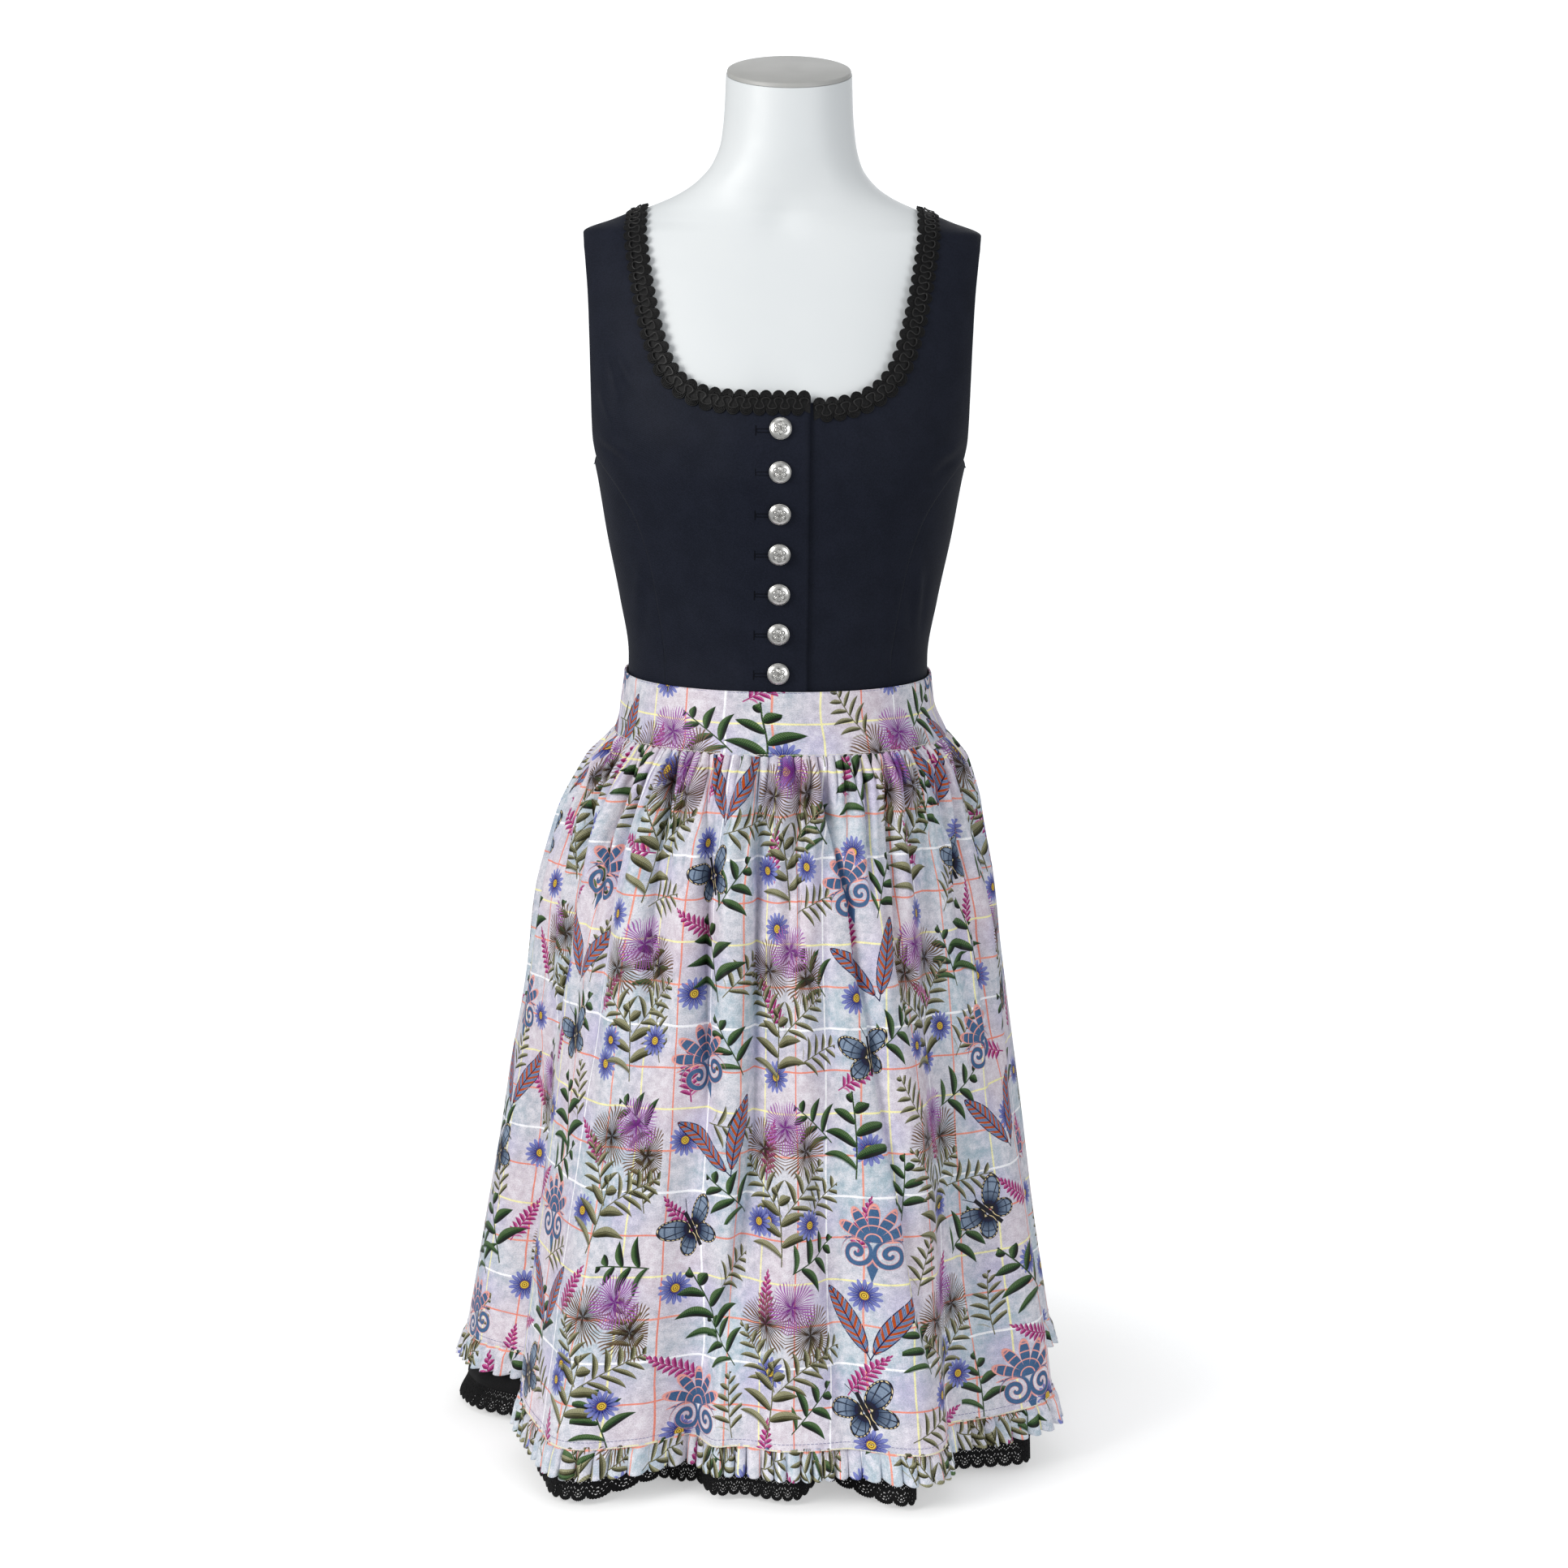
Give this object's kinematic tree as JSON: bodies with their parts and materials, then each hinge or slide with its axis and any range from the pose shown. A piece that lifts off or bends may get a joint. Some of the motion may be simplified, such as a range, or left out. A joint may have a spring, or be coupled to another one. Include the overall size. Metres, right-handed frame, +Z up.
{
  "type": "dirndl dress with apron on a limbless dress form",
  "caption": "Sleeveless dirndl with a scooped, braid-edged neck, buttoned front and gathered flowered apron, worn by a limbless dress form on a round stand.",
  "frame": {"origin": "centre of the underside of the stand's round base plate, on the floor", "axes": "+Z up, the dress faces -Y, and the wearer's right is at -X"},
  "size_m": [0.4821, 0.4821, 1.0615],
  "materials": {
    "form_gloss": "smooth glossy white shell",
    "form_cap": "satin grey cap",
    "stand_steel": "brushed",
    "navy_cotton": "matte fine cotton twill",
    "black_braid": "looped gimp cord",
    "black_cotton": "matte cotton",
    "black_lace": "cotton bobbin lace",
    "printed_satin": "soft satin with a flowered print",
    "silver_button": "antique silver, darkened in the relief"
  },
  "bodies": {
    "root": {"form_torso": "form_gloss", "form_neck_cap": "form_cap", "stand_base": "stand_steel", "stand_pole": "stand_steel", "bodice_front_right": "navy_cotton", "bodice_front_left": "navy_cotton", "bodice_side_right": "navy_cotton", "bodice_side_left": "navy_cotton", "bodice_back_right": "navy_cotton", "bodice_back_left": "navy_cotton", "button_1": "silver_button", "button_2": "silver_button", "button_3": "silver_button", "button_4": "silver_button", "button_5": "silver_button", "button_6": "silver_button", "button_7": "silver_button", "neck_braid_right": "black_braid", "neck_braid_left": "black_braid", "skirt_front": "black_cotton", "skirt_back": "black_cotton", "skirt_lace_front": "black_lace", "skirt_lace_back": "black_lace", "apron_band": "printed_satin", "apron_skirt": "printed_satin", "apron_ruffle": "printed_satin", "apron_tie_right": "printed_satin", "apron_tie_left": "printed_satin", "apron_tail_right": "printed_satin", "apron_tail_left": "printed_satin", "apron_knot": "printed_satin"}
  },
  "joints": []
}
